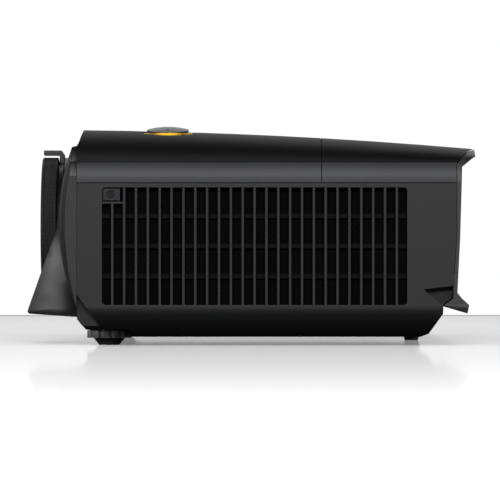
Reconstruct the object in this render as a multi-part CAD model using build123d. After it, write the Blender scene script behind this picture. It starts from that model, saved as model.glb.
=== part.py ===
"""Home projector: every physical piece as its own solid, in millimetres, +Z up.

The front (lens) looks along -X, the left flank faces -Y, and the feet stand on Z = 0.
"""
from build123d import *
import math
import os

os.makedirs("parts", exist_ok=True)

# ---------------------------------------------------------------- driving dimensions
half_width = 190.0           # the case is 380 mm wide
front_seam_x = -101.7        # where the fascia meets the case
rear_seam_x = 120.6          # where the flared rear trim meets the case
seam_z = 95.3                # joint between lower and upper shells
crease_z = 107.2             # sharp line where the shoulder starts
base_z = 5.0                 # underside of the case above the table
wall = 2.4
reveal = 0.5                 # shadow gap between neighbouring covers
cover_split_x = 41.6         # joint between the two top covers

roof = [(-101.7, 127.8), (29.0, 123.8), (131.0, 116.7)]   # crown height along the case

lens_y, lens_z = -92.0, 69.0
ring_radius, ring_front_x, ring_rear_x = 42.8, -125.2, -115.8
barrel_radius = 34.0
running = 0.05               # radial clearance of a turning or sliding fit
shift_travel = 2.5           # vertical lens shift either way

grille_x0, grille_x1 = -87.0, 91.7
grille_z0, grille_z1 = 23.8, 92.7
rib_count, rib_pitch, rib_width, first_rib_x = 25, 6.94, 1.35, -80.9
rail_heights = (40.6, 58.3, 75.9)

dial_x, dial_y, dial_z = -49.0, -147.0, 123.75
dial_radius, dial_tilt = 12.4, 8.0
foot_x, foot_y = -83.5, 158.0
rear_foot_x = 100.0

nodes = {}


# ---------------------------------------------------------------- small helpers
def block(x0, x1, y0, y1, z0, z1):
    return Pos((x0 + x1) / 2, (y0 + y1) / 2, (z0 + z1) / 2) * Box(x1 - x0, y1 - y0, z1 - z0)


def rod_x(radius, x0, x1, y, z):
    return Pos((x0 + x1) / 2, y, z) * Rot(0, 90, 0) * Cylinder(radius, x1 - x0)


def rod_y(radius, y0, y1, x, z):
    return Pos(x, (y0 + y1) / 2, z) * Rot(90, 0, 0) * Cylinder(radius, y1 - y0)


def rod_z(radius, z0, z1, x, y):
    return Pos(x, y, (z0 + z1) / 2) * Cylinder(radius, z1 - z0)


def tube_x(outer, inner, x0, x1, y, z):
    return rod_x(outer, x0, x1, y, z) - rod_x(inner, x0 - 1, x1 + 1, y, z)


def tube_z(outer, inner, z0, z1, x, y):
    return rod_z(outer, z0, z1, x, y) - rod_z(inner, z0 - 1, z1 + 1, x, y)


def side_slab(points, y0, y1, grow=0.0):
    """A flat shape drawn in X and Z, as thick as y0 to y1."""
    face = make_face(Polyline(*points, close=True).edges())
    if grow:
        face = offset(face, amount=grow, kind=Kind.INTERSECTION)
    face = Plane.XZ * face
    return Pos(0, (y0 + y1) / 2, 0) * extrude(face, amount=(y1 - y0) / 2, both=True)


def roof_height(x):
    """Crown height above the table at x, on the arc through the three roof points."""
    (xa, za), (xb, zb), (xc, zc) = roof
    la = (x - xb) * (x - xc) / ((xa - xb) * (xa - xc))
    lb = (x - xa) * (x - xc) / ((xb - xa) * (xb - xc))
    lc = (x - xa) * (x - xb) / ((xc - xa) * (xc - xb))
    return za * la + zb * lb + zc * lc


# ---------------------------------------------------------------- case envelope
def upper_section(x, inset):
    """Half-round-shouldered outline of the top shell at x, shrunk by inset."""
    half = half_width - inset
    top = roof_height(x) - inset
    brow = half - 2.4            # the band above the seam leans in to here
    step = brow - 0.9            # small ledge that draws the crease
    crown = half - 42.0          # the shoulder runs out into the crown here
    rise = top - crease_z - 0.5
    low = seam_z - 8.0
    right = [
        Line((half, low), (half, seam_z)),
        ThreePointArc((half, seam_z), (half - 0.5, (seam_z + crease_z) / 2), (brow, crease_z)),
        Line((brow, crease_z), (step, crease_z + 0.5)),
        Bezier((step, crease_z + 0.5), (step - 2.5, crease_z + 0.5 + 0.66 * rise),
               (half - 21.0, top - 1.3), (crown, top - 0.7)),
    ]
    crown_line = ThreePointArc((crown, top - 0.7), (0, top), (-crown, top - 0.7))
    left = [edge.mirror(Plane.YZ) for edge in right]
    floor = Line((-half, low), (half, low))
    face = make_face([*right, crown_line, *left, floor])
    return Plane(origin=(x, 0, 0), x_dir=(0, 1, 0), z_dir=(1, 0, 0)) * face


def upper_envelope(inset):
    return loft([upper_section(x, inset) for x in (-118.0, 8.0, 134.0)])


def lower_tube(inset, top):
    """Straight flanks that tuck in below the grille, as long as the case and more."""
    half = half_width - inset
    low = base_z + inset
    tuck = half - 13.0
    right = [
        Line((half, top), (half, 24.0)),
        ThreePointArc((half, 24.0), (half - 3.4, 12.0), (tuck, low)),
    ]
    left = [edge.mirror(Plane.YZ) for edge in right]
    lid = Line((-half, top), (half, top))
    bottom = Line((tuck, low), (-tuck, low))
    return extrude(Plane.YZ * make_face([*right, *left, lid, bottom]), amount=150, both=True)


def lower_envelope(inset):
    """The lower shell's outside, or its cavity when inset is the wall."""
    low = base_z + inset
    front = front_seam_x + inset
    profile = [
        (front, seam_z + 9), (front, 15.5), (front + 2.4, 12.4 + inset * 0.5),
        (front + 5.8, 8.9 + inset), (-86.0, low), (100.0 - inset, low),
        (104.5 - inset, 6.8 + inset), (112.7 - inset, 18.6 + inset), (112.9 - inset, 23.8 + inset),
        (rear_seam_x - 2.4 - inset * 0.5, 28.0 + inset), (rear_seam_x, 64.0),
        (rear_seam_x, seam_z + 9),
    ]
    return lower_tube(inset, seam_z + 8.0) & side_slab(profile, -200, 200)


def rear_slope():
    """Room behind the case for the flared trim: everything aft of its front edge."""
    return side_slab([
        (rear_seam_x, seam_z - 10), (rear_seam_x, 106.8), (121.9, 108.2), (124.0, 110.9),
        (127.2, 113.4), (131.0, 115.4), (131.3, 120), (150, 120), (150, seam_z - 10)], -200, 200)


def front_slope():
    """Cuts the brow of the top shell back to its slope above the fascia."""
    return side_slab([
        (front_seam_x, 80), (front_seam_x, 117.6), (-100.9, 119.0), (-99.6, 123.4),
        (-97.9, 129.0), (-120, 132), (-120, 80)], -200, 200)


band = block(-140, 140, -200, 200, seam_z + reveal / 2, 140)
upper_outer = (upper_envelope(0.0) & band) - front_slope() - rear_slope()
upper_inner = upper_envelope(wall) - block(-140, front_seam_x + wall, -200, 200, 0, 200)
upper_inner -= block(-140, front_seam_x + wall + 4.5, -200, 200, 114, 200)
lower_outer = lower_envelope(0.0) & block(-140, 140, -200, 200, 0, seam_z - reveal / 2)
lower_inner = lower_envelope(wall)


# ---------------------------------------------------------------- case covers
def grille_opening(side, grow):
    """The rounded window in one flank, side -1 for the left and 1 for the right."""
    length, height = grille_x1 - grille_x0 + 2 * grow, grille_z1 - grille_z0 + 2 * grow
    face = Plane.XZ * RectangleRounded(length, height, 2.2 + grow)
    slab = extrude(face, amount=6, both=True)
    return Pos((grille_x0 + grille_x1) / 2, side * half_width, (grille_z0 + grille_z1) / 2) * slab


def corner_scoops(grow):
    """Dark hollows at the flanks' lower corners, four in all."""
    front_shape = [(-112, 40.0), (-101.7, 30.0), (-86.0, 8.5), (-84.0, 0), (-112, 0)]
    rear_shape = [(101.4, 33.0), (130, 36.5), (130, 23.4), (112.0, 23.8), (104.5, 30.0)]
    hollows = Part()
    for shape, depth in ((front_shape, 4.5), (rear_shape, 7.0)):
        inner, outer = half_width - depth - grow, half_width + 8
        hollows += side_slab(shape, inner, outer, grow)
        hollows += side_slab(shape, -outer, -inner, grow)
    return hollows


def seam_tongue():
    """Lip on the lower shell that closes the shadow gap from inside."""
    zone = block(front_seam_x + 3.2, rear_seam_x - 0.2, -200, 200, seam_z - 1.4, seam_z + 3.5)
    foot = (lower_envelope(wall) - lower_envelope(wall + 1.6)) & block(
        front_seam_x + 3.2, rear_seam_x - 0.2, -200, 200, seam_z - 1.4, seam_z - 0.4)
    return ((lower_envelope(wall + 0.5) - lower_envelope(wall + 1.6)) & zone) + foot


dial_frame = Pos(dial_x, dial_y, dial_z) * Rot(dial_tilt, 0, 0)

key_x, key_y, key_pitch = 84.0, 108.0, 15.0
key_places = {
    "up_key": (key_x - key_pitch, key_y), "down_key": (key_x + key_pitch, key_y),
    "left_key": (key_x, key_y - key_pitch), "right_key": (key_x, key_y + key_pitch),
    "menu_key": (key_x, key_y),
    "power_key": (key_x, key_y + 34.0),
}
key_radius, key_travel = 5.0, 0.8


def key_bores(radius):
    bores = [rod_z(radius, 100, 130, x, y) for x, y in key_places.values()]
    return Part() + bores


lower_shell = (lower_outer - corner_scoops(0.0)) - (lower_inner - corner_scoops(wall))
for side in (-1, 1):
    lower_shell -= grille_opening(side, 0.0)
lower_shell -= block(-120, -98, -182, 182, 22, 110)
lower_shell -= block(108, 125, -184.5, 184.5, 41.0, 110) + block(108, 125, -180.2, 180.2, 31.0, 42)
lower_shell += seam_tongue() - block(-120, -96, -182, 182, 22, 110)

upper_shell = upper_outer - upper_inner
upper_shell -= block(-120, -98, -182, 182, 80, 112)
dial_seat = dial_frame * Pos(0, 0, 2.0) * Cylinder(14.9, 10.0)
dial_shaft = dial_frame * Cylinder(3.4, 40)
dial_floor = dial_frame * Pos(0, 0, -4.6) * Cylinder(17.4, 3.2)
dial_well = dial_frame * Pos(0, 0, -0.5) * Cylinder(23.5, 8.0) & upper_envelope(0.8)
dish_radius, dish_low = 57.3, -1.2       # shallow dish that runs out on the shoulder
dial_dish = dial_frame * Pos(0, 0, dish_low + dish_radius) * Sphere(dish_radius)
upper_front = upper_shell & block(-140, cover_split_x - reveal / 2, -200, 200, 80, 140)
upper_front = (upper_front + dial_well + dial_floor) - dial_seat - dial_dish - dial_shaft
upper_rear = upper_shell & block(cover_split_x + reveal / 2, 140, -200, 200, 80, 140)
lip = (upper_envelope(wall + 0.2) - upper_envelope(wall + 1.6)) & block(
    cover_split_x - 3, cover_split_x + 4, -184, 184, seam_z + 2, 140)
lip += (upper_envelope(wall) - upper_envelope(wall + 1.6)) & block(
    cover_split_x + 1, cover_split_x + 4, -184, 184, seam_z + 2, 140)
upper_rear = upper_rear - key_bores(key_radius + 0.35) + lip
nodes["lower_shell"] = lower_shell
nodes["upper_shell_front"] = upper_front
nodes["upper_shell_rear"] = upper_rear


# ---------------------------------------------------------------- front fascia and lens shroud
def bulge(x_edge, x_crest, z_low, z_high, y0, y1):
    """D-shaped slab in X and Z whose curved side swells forward to x_crest."""
    middle = (z_low + z_high) / 2
    lines = [
        ThreePointArc((x_edge, z_low), (x_crest, middle), (x_edge - 1.6, z_high)),
        Line((x_edge - 1.6, z_high), (front_seam_x, z_high + 0.8)),
        Line((front_seam_x, z_high + 0.8), (front_seam_x, z_low - 2.4)),
        Line((front_seam_x, z_low - 2.4), (x_edge, z_low)),
    ]
    face = Plane.XZ * make_face(lines)
    return Pos(0, (y0 + y1) / 2, 0) * extrude(face, amount=(y1 - y0) / 2, both=True)


def bulge_face(x_edge, x_crest, z_low, z_high, y):
    flat = bulge(x_edge, x_crest, z_low, z_high, y - 0.5, y + 0.5)
    return flat.faces().sort_by(Axis.Y)[0]


fascia_bevel = 7.0


def fascia_body():
    """The bulging front, with its two ends bevelled back to a flatter D."""
    middle_end = half_width - fascia_bevel
    shape = (-103.1, -112.5, 24.4, 116.4)
    end_shape = (-101.9, -108.8, 22.6, 113.6)
    solid = bulge(*shape, -middle_end, middle_end)
    for side in (-1, 1):
        inner = bulge_face(*shape, side * middle_end + 0.5)
        outer = bulge_face(*end_shape, side * (half_width - 0.2) + 0.5)
        solid += loft([inner, outer])
    return solid


def shroud_outline(grow):
    """Outline round the lens seen from the front: round above, flared flanks below."""
    r = ring_radius + grow
    ax, az = r * math.cos(math.radians(30)), r * math.sin(math.radians(30))
    bottom = 14.0 - lens_z - grow
    foot_half = 57.0 + grow
    flank = Spline((ax, az), (ring_radius + 6.4 + grow, -3.0), (foot_half, bottom),
                   tangents=[(0.5, -0.87), (0.12, -1.0)])
    right_arc = ThreePointArc((0, r), (r * math.sin(math.radians(30)), r * math.cos(math.radians(30))),
                              (ax, az))
    right = [right_arc, flank]
    left = [edge.mirror(Plane.YZ) for edge in right]
    face = make_face([*right, *left, Line((-foot_half, bottom), (foot_half, bottom))])
    return Plane(origin=(0, lens_y, lens_z), x_dir=(0, 1, 0), z_dir=(1, 0, 0)) * face


def shroud_bar(x0, x1, grow):
    return Pos((x0 + x1) / 2, 0, 0) * extrude(shroud_outline(grow), amount=(x1 - x0) / 2, both=True)


lever_slot_x = -111.6
collar_x = ring_rear_x + 0.7           # front of the fixed collar behind the ring
ring_room = ring_radius + shift_travel + 0.6
zoom_radius = 40.0
zoom_room = zoom_radius + shift_travel + 0.5
shroud_back = front_seam_x - 0.2
shroud_profile = [
    (shroud_back, 16.2), (-131.2, 18.2), (-132.3, 19.2), (-132.0, 20.8), (-115.5, 68.0),
    (collar_x, 69.5), (collar_x, 94.0), (lever_slot_x, 96.0), (lever_slot_x, 113.0), (shroud_back, 113.0)]
lens_shroud = side_slab(shroud_profile, -200, 200) & shroud_bar(-135, -95, 0.0)
lens_shroud -= rod_x(ring_room, -140, collar_x - 0.3, lens_y, lens_z)
lens_shroud -= rod_x(zoom_room, collar_x - 2, lever_slot_x, lens_y, lens_z)
lens_shroud -= rod_x(barrel_radius + shift_travel + 0.6, -118, -90, lens_y, lens_z)
lens_shroud -= shroud_bar(lever_slot_x + 2.6, -95, -2.4)
ir_window_y, ir_window_z = 118.0, 66.0
fascia_outer = fascia_body() & (upper_envelope(0.0) + lower_tube(0.0, seam_z))
fascia_hollow = Pos(wall, 0, 0) * fascia_body() & block(
    -140, -90, -half_width + 3.0, half_width - 3.0, 26.5, 100.0)
fascia_hollow += Pos(wall, 0, 0) * fascia_body() & block(-140, -90, -172, 172, 99.0, 113.5)
front_fascia = fascia_outer - fascia_hollow
front_fascia -= block(front_seam_x - 0.8, -90, -177, 177, 30, 108)
front_fascia -= shroud_bar(-140, -90, 0.25) & block(-140, -90, -200, 200, 15.5, 113.4)
front_fascia -= rod_x(9.2, -120, -100, ir_window_y, ir_window_z)
ir_window = rod_x(9.0, -120, -107.9, ir_window_y, ir_window_z) & fascia_body()
nodes["front_fascia"] = front_fascia
nodes["lens_shroud"] = lens_shroud
nodes["ir_window"] = ir_window


# ---------------------------------------------------------------- flared rear trim and rear panel
case_section = upper_envelope(0.0) + lower_tube(0.0, seam_z)
gap = 0.3
bezel_front = [(131.3, 115.2), (127.4, 113.0), (124.3, 110.6), (122.2, 107.9), (rear_seam_x + gap, 106.4),
               (rear_seam_x + gap, 64.0), (118.8, 33.0), (118.7, 27.6), (113.6, 23.8)]
bezel_back = [(119.8, 20.9), (127.0, 18.8), (128.0, 23.8), (123.6, 27.8), (121.1, 31.0),
              (122.7, 63.0), (123.9, 104.6), (129.9, 109.6), (131.8, 110.6), (131.8, 115.4)]
rear_bezel = side_slab(bezel_front + bezel_back, -200, 200) & case_section
rear_bezel -= block(105, 140, -half_width + 6.5, half_width - 6.5, 32.0, 103.0)
for side in (-1, 1):                     # lips that close the shadow gap from inside
    rear_bezel += block(117.9, 121.5, *sorted((side * 183.4, side * 184.4)), 41.2, 104.0)
    rear_bezel += block(117.7, 120.6, *sorted((side * 176.8, side * 180.0)), 31.3, 39.5)
nodes["rear_bezel"] = rear_bezel

panel_x0, panel_x1 = 115.4, 117.4
board_x0, board_x1 = 100.0, 101.6        # the main board stands upright behind the sockets
socket_z = 56.0
inlet_y, inlet_z = -166.0, 50.0
rear_panel = block(panel_x0, panel_x1, -184.3, 184.3, 31.2, 105.0)
for side in (-1, 1):
    rear_panel -= block(110, 120, *sorted((side * 180.2, side * 190)), 30, 40.5)


def socket_shell(y, z, width, height, rim, x1, tongue):
    """One rectangular socket: a hollow shell with a contact tongue in the middle."""
    half_w, half_h = width / 2, height / 2
    shell = block(board_x1, x1, y - half_w - rim, y + half_w + rim, z - half_h - rim, z + half_h + rim)
    shell -= block(board_x1 + 4, x1 + 1, y - half_w, y + half_w, z - half_h, z + half_h)
    return shell + block(board_x1 + 3, x1 - 1.5, y - half_w + 2, y + half_w - 2,
                         z + tongue - 0.6, z + tongue + 0.6)


def pin_socket(y, z, half_w):
    """Screw-locked socket: a flat flange, a raised shell and two standoffs."""
    body = block(board_x1, panel_x0, y - half_w, y + half_w, z - 6.0, z + 6.0)
    body += block(panel_x0 - 1, panel_x1 + 4.5, y - half_w + 7, y + half_w - 7, z - 4.2, z + 4.2)
    body -= block(panel_x1 + 0.5, panel_x1 + 6, y - half_w + 7.8, y + half_w - 7.8, z - 3.4, z + 3.4)
    for side in (-1, 1):
        body += rod_x(2.6, panel_x0 - 1, panel_x1 + 3.0, y + side * (half_w - 3.2), z)
    pins = [rod_x(0.5, panel_x1 - 1, panel_x1 + 3.6, y + step * 2.7, z + row)
            for row, count in ((-1.4, 2), (1.4, 2)) for step in range(-count, count + 1)]
    return body + pins


video_ys, data_ys, audio_ys, control_ys = (-122.0, -98.0), (-70.0, -50.0), (-24.0, -8.0), (36.0, 84.0)
video_sockets = Part() + [socket_shell(y, socket_z, 14.0, 4.6, 0.8, panel_x1 + 1, 0.8) for y in video_ys]
data_sockets = Part() + [socket_shell(y, socket_z, 12.4, 5.0, 0.8, panel_x1 + 1, 1.0) for y in data_ys]
audio_sockets = Part() + [
    block(board_x1, panel_x0, y - 5, y + 5, socket_z - 5, socket_z + 5)
    + tube_x(4.0, 1.8, panel_x0 - 0.1, panel_x1 + 1.6, y, socket_z)
    - rod_x(1.8, board_x1 + 2, panel_x1 + 2, y, socket_z) for y in audio_ys]
control_sockets = Part() + [pin_socket(y, socket_z, 17.0) for y in control_ys]
socket_holes = [block(panel_x0 - 1, panel_x1 + 1, y - 8.8, y + 8.8, socket_z - 4.0, socket_z + 4.0)
                for y in video_ys + data_ys]
socket_holes += [rod_x(4.1, panel_x0 - 1, panel_x1 + 1, y, socket_z) for y in audio_ys]
for y in control_ys:
    socket_holes.append(block(panel_x0 - 1, panel_x1 + 1, y - 10.2, y + 10.2, socket_z - 4.4, socket_z + 4.4))
    for side in (-1, 1):
        socket_holes.append(rod_x(2.8, panel_x0 - 1, panel_x1 + 1, y + side * 13.8, socket_z))

inlet_half_w, inlet_half_h = 12.2, 8.3
power_inlet = block(98, panel_x1 + 2.0, inlet_y - 14, inlet_y + 14, inlet_z - 10, inlet_z + 10)
power_inlet -= block(103, 125, inlet_y - inlet_half_w, inlet_y + inlet_half_w,
                     inlet_z - inlet_half_h, inlet_z + inlet_half_h)
for pin_y, pin_z in ((-7.0, 2.0), (7.0, 2.0), (0.0, 5.6)):
    power_inlet += block(102, 114, inlet_y + pin_y - 1, inlet_y + pin_y + 1,
                         inlet_z + pin_z - 2, inlet_z + pin_z + 2)
socket_holes.append(block(panel_x0 - 1, panel_x1 + 1, inlet_y - 14.1, inlet_y + 14.1,
                          inlet_z - 10.1, inlet_z + 10.1))
nodes["rear_panel"] = rear_panel - socket_holes
nodes["main_board"] = block(board_x0, board_x1, -148, 148, 24, 100)
nodes["digital_sockets"] = video_sockets + data_sockets
nodes["analog_sockets"] = audio_sockets + control_sockets
nodes["power_inlet"] = power_inlet


# ---------------------------------------------------------------- side grilles
def cross_screw(head_radius, x, y0, side, z):
    """Pan head facing out of the flank, with a cross recess, and its shank."""
    head = rod_y(head_radius, *sorted((y0, y0 - side * 1.4)), x, z)
    shank = rod_y(head_radius * 0.5, *sorted((y0 - side * 1.4, y0 - side * 6.5)), x, z)
    slot_y = sorted((y0 + side * 0.2, y0 - side * 0.8))
    cross = block(x - 1.15, x + 1.15, *slot_y, z - 0.28, z + 0.28)
    cross += block(x - 0.28, x + 0.28, *slot_y, z - 1.15, z + 1.15)
    return head + shank - cross


plate_x0, plate_x1, plate_z0, plate_z1 = -86.2, -76.4, 85.1, 91.8
plate_x, plate_z = (plate_x0 + plate_x1) / 2 - 0.6, (plate_z0 + plate_z1) / 2
second_rib_x = first_rib_x + rib_pitch


def side_grille(side):
    def layer(x0, x1, depth0, depth1, z0, z1):
        """A block between two depths behind the flank's face."""
        return block(x0, x1, *sorted((side * (half_width - depth0), side * (half_width - depth1))), z0, z1)

    front, back, rail_back = 0.5, 4.4, 6.6
    flange = layer(grille_x0 - 4, grille_x1 + 4, wall + 0.05, back, grille_z0 - 1.5, grille_z1 + 0.6)
    flange -= layer(grille_x0, grille_x1, 0, 10, grille_z0, grille_z1)
    grille = flange
    for index in range(rib_count):
        x = first_rib_x + index * rib_pitch
        x0, x1 = x - rib_width / 2, x + rib_width / 2
        top = plate_z0 - 1.2 if index == 0 else grille_z1 - 0.1
        grille += layer(x0, x1, front, back - 0.1, grille_z0 + 0.1, top)
        grille += layer(x0, x1, wall + 0.1, back - 0.1, grille_z0 - 1, top if index == 0 else grille_z1 + 0.5)
    for height in rail_heights:
        grille += layer(grille_x0 - 2, grille_x1 + 2, back - 0.2, rail_back, height - 1.3, height + 1.3)
    grille += layer(grille_x0 + 0.1, second_rib_x, front, back - 0.1, plate_z0 - 2.0, plate_z0 - 0.9)
    grille += layer(grille_x0 - 1, plate_x1 - 0.2, wall + 0.4, back, plate_z0 - 1.0, grille_z1 + 0.5)
    grille -= rod_y(1.2, *sorted((side * (half_width - 12), side * half_width)), plate_x, plate_z)
    plate = layer(plate_x0, plate_x1, 0.5, wall + 0.4, plate_z0, plate_z1)
    plate -= rod_y(2.35, *sorted((side * (half_width - 1.9), side * (half_width + 3))), plate_x, plate_z)
    plate -= rod_y(1.0, *sorted((side * (half_width - 8), side * half_width)), plate_x, plate_z)
    screw = cross_screw(1.6, plate_x, side * (half_width - 0.5), side, plate_z)
    return grille, plate, screw


service_plates, service_screws = [], []
for side, name in ((-1, "left"), (1, "right")):
    grille, plate, screw = side_grille(side)
    nodes[f"side_grille_{name}"] = grille
    service_plates.append(plate)
    service_screws.append(screw)
nodes["service_plates"] = Compound(service_plates)
nodes["service_screws"] = Compound(service_screws)


# ---------------------------------------------------------------- lens
def lens_disc(radius, x0, x1, front_sag, back_sag):
    """Glass disc on the lens axis whose two faces swell by the given sagittas."""
    glass = rod_x(radius, x0, x1, lens_y, lens_z)
    for sag, edge_x, way in ((front_sag, x0, 1), (back_sag, x1, -1)):
        ball = (radius ** 2 + sag ** 2) / (2 * sag)
        glass = glass & Pos(edge_x + way * ball, lens_y, lens_z) * Sphere(ball)
    return glass


def lens_tube(outer, inner, x0, x1):
    return tube_x(outer, inner, x0, x1, lens_y, lens_z)


barrel_front, barrel_step, barrel_rear = ring_front_x + 1.2, -62.0, -32.0
tail_radius, front_bore, zoom_bore = 27.0, 31.8, 24.0
barrel = rod_x(barrel_radius, barrel_front, barrel_step, lens_y, lens_z)
barrel += rod_x(tail_radius, barrel_step - 1, barrel_rear, lens_y, lens_z)
barrel -= rod_x(front_bore, barrel_front - 1, -96, lens_y, lens_z)
barrel -= rod_x(zoom_bore, -97, barrel_rear + 1, lens_y, lens_z)
nodes["lens_barrel"] = barrel
nodes["lens_retainer"] = lens_tube(front_bore, 28.0, barrel_front + 0.2, barrel_front + 2.4)
cell_front = barrel_front + 4.2
nodes["focus_cell"] = lens_tube(front_bore - running, 27.5, cell_front, cell_front + 15.2)
nodes["front_lens"] = lens_disc(27.5, cell_front + 0.4, cell_front + 12.7, 4.2, 2.0)
nodes["zoom_cell"] = lens_tube(zoom_bore - running, 19.0, -78.0, -66.0)
nodes["zoom_lens"] = lens_disc(19.0, -76.5, -67.5, 2.0, 2.0)
nodes["rear_lens"] = lens_disc(zoom_bore, -44.0, -35.0, 2.2, 1.4)

focus_ring = lens_tube(ring_radius, barrel_radius + running, ring_front_x + 0.9, ring_rear_x)
focus_ring += lens_tube(ring_radius, 31.0, ring_front_x, ring_front_x + 1.0)
focus_ring = chamfer(focus_ring.edges().filter_by(GeomType.CIRCLE).group_by(Axis.X)[0].sort_by(
    SortBy.RADIUS)[-1], 0.8)
nodes["focus_ring"] = focus_ring

lever_half, lever_in, lever_out = 6.5, ring_radius + 1.6, ring_radius + 4.4
lever_front, lever_back = ring_front_x + 0.6, lever_slot_x - 0.5
lever = lens_tube(lever_out, lever_in, lever_front, lever_back)
lever += lens_tube(lever_out, zoom_radius - 1, lever_back - 3.0, lever_back)
lever = lever & block(-130, -100, lens_y - lever_half, lens_y + lever_half, lens_z, 130)
lever -= side_slab([(lever_back - 2.2, lens_z + lever_out + 0.3), (lever_back + 1, lens_z + ring_radius),
                    (lever_back + 1, 122)], lens_y - 10, lens_y + 10)
zoom_ring = lens_tube(zoom_radius, barrel_radius + running, lever_back - 3.4, lever_back) + lever
nodes["zoom_ring"] = zoom_ring


# ---------------------------------------------------------------- lens shift mechanism
rod_gap = 51.0
rod_x_place, screw_x, screw_y = -42.0, -50.0, -143.5
tray_top = 9.1
mount_top_z = 104.0
near_y, far_y = lens_y - rod_gap, lens_y + rod_gap
carriage = block(-44, -40, lens_y - 46, lens_y + 46, 37.0, 100.5)
carriage += block(-54, -38, near_y - 5, near_y + 7, lens_z - 12, lens_z + 12)
carriage += block(-47, -38, far_y - 7, far_y + 5, lens_z - 12, lens_z + 12)
carriage -= rod_x(tail_radius, -60, -30, lens_y, lens_z)
for y in (near_y, far_y):
    carriage -= rod_z(2.5 + running, 20, 110, rod_x_place, y)
carriage -= rod_z(2.0 + running, 20, 110, screw_x, screw_y)
nodes["lens_carriage"] = carriage
nodes["shift_guide_rods"] = Part() + [
    rod_z(2.5, 14.0, mount_top_z, rod_x_place, y) for y in (near_y, far_y)]
nodes["shift_screw"] = rod_z(2.0, 12.1, 107.9, screw_x, screw_y)
mount_frame = block(-54, -31, lens_y - 60, lens_y + 60, tray_top, 14.0)
mount_frame += block(-54, -31, lens_y - 60, lens_y + 60, mount_top_z, 107.0)
for y0, y1 in ((lens_y - 60, lens_y - 57.2), (lens_y + 57.2, lens_y + 60)):
    mount_frame += block(-54, -38, y0, y1, 13.0, 105.0)
mount_frame -= rod_z(2.0 + running, 12.0, 115, screw_x, screw_y)
gearbox = block(-58, -40, -156, -138, 107.0, 113.5)
gearbox -= dial_frame * Pos(0, 0, -4.4) * Cylinder(3.4, 20.0)
gearbox -= rod_z(2.0 + running, 100, 108.0, screw_x, screw_y)
nodes["lens_mount_frame"] = mount_frame + gearbox

dial_top, dome_rise = 5.1, 1.6
dome_radius = (dial_radius ** 2 + dome_rise ** 2) / (2 * dome_rise)
dial_dome = Pos(0, 0, dial_top - dome_radius) * Sphere(dome_radius)
dial_cap = Pos(0, 0, 1.3) * Cylinder(dial_radius, 8.0) & dial_dome
for index in range(24):
    angle = index * 360 / 24
    dial_cap -= Rot(0, 0, angle) * Pos(dial_radius + 0.5, 0, 1.0) * Cylinder(0.9, 9.0)
dial_cap -= Pos(0, 4.0 - dial_radius, 5.0) * Box(1.2, 5.0, 1.2)
dial_cap += Pos(0, 0, -8.2) * Cylinder(3.4 - running, 11.6)
nodes["shift_dial"] = dial_frame * dial_cap
trim = Pos(0, 0, -1.0) * Cylinder(14.7, 4.0) + Pos(0, 0, 2.2) * Cone(14.7, 12.95, 2.4) - Cylinder(12.85, 20)
level_cut = block(-80, -20, -180, -110, 110, 125.2)     # level top, so its high side faces the flank
nodes["dial_trim_ring"] = dial_frame * trim & level_cut


# ---------------------------------------------------------------- light engine
axis_x, axis_z = 14.0, 60.0              # the lamp's light runs towards -Y on this line
engine_x0, engine_x1, engine_y0, engine_y1 = -29.0, 58.0, -136.0, -48.0
engine = block(engine_x0, engine_x1, engine_y0, engine_y1, 14.0, 104.0)
engine -= block(engine_x0 + 3, engine_x1 - 3, engine_y0 + 3, engine_y1 - 3, 17.0, 101.0)
engine -= rod_x(30.0, engine_x0 - 1, engine_x0 + 5, lens_y, lens_z)
engine -= rod_y(8.0, engine_y1 - 5, engine_y1 + 1, axis_x, axis_z)
for x in (engine_x0 + 6, engine_x1 - 6):
    for y in (engine_y0 + 6, engine_y1 - 6):
        engine += rod_z(4.0, tray_top, 15.0, x, y)
nodes["light_engine_housing"] = engine
nodes["mirror_chip_board"] = block(engine_x1, engine_x1 + 1.6, -125, -60, 32, 92)
heatsink = block(engine_x1 + 1.6, engine_x1 + 5.0, -118, -66, 40, 86)
for index in range(9):
    y = -118 + index * 6.3
    heatsink += block(engine_x1 + 4.8, engine_x1 + 22, y, y + 1.6, 40, 86)
nodes["chip_heatsink"] = heatsink
tunnel = block(axis_x - 5, axis_x + 5, engine_y1, -21.0, axis_z - 5, axis_z + 5)
nodes["light_tunnel"] = tunnel - block(axis_x - 3.4, axis_x + 3.4, -60, -10, axis_z - 3.4, axis_z + 3.4)
wheel_x, wheel_radius = axis_x + 18.0, 25.0
color_wheel = rod_y(wheel_radius, -18.6, -17.4, wheel_x, axis_z) + rod_y(9.0, -17.5, -14.2, wheel_x, axis_z)
nodes["color_wheel"] = color_wheel - rod_y(2.0 + running, -20, -10, wheel_x, axis_z)
motor = rod_y(10.0, -13.6, -4.0, wheel_x, axis_z) + rod_y(2.0, -18.6, -13.0, wheel_x, axis_z)
nodes["color_wheel_motor"] = motor
wheel_bracket = block(wheel_x - 12, wheel_x + 12, -4.0, -1.5, tray_top - 1, 76.0)

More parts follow.
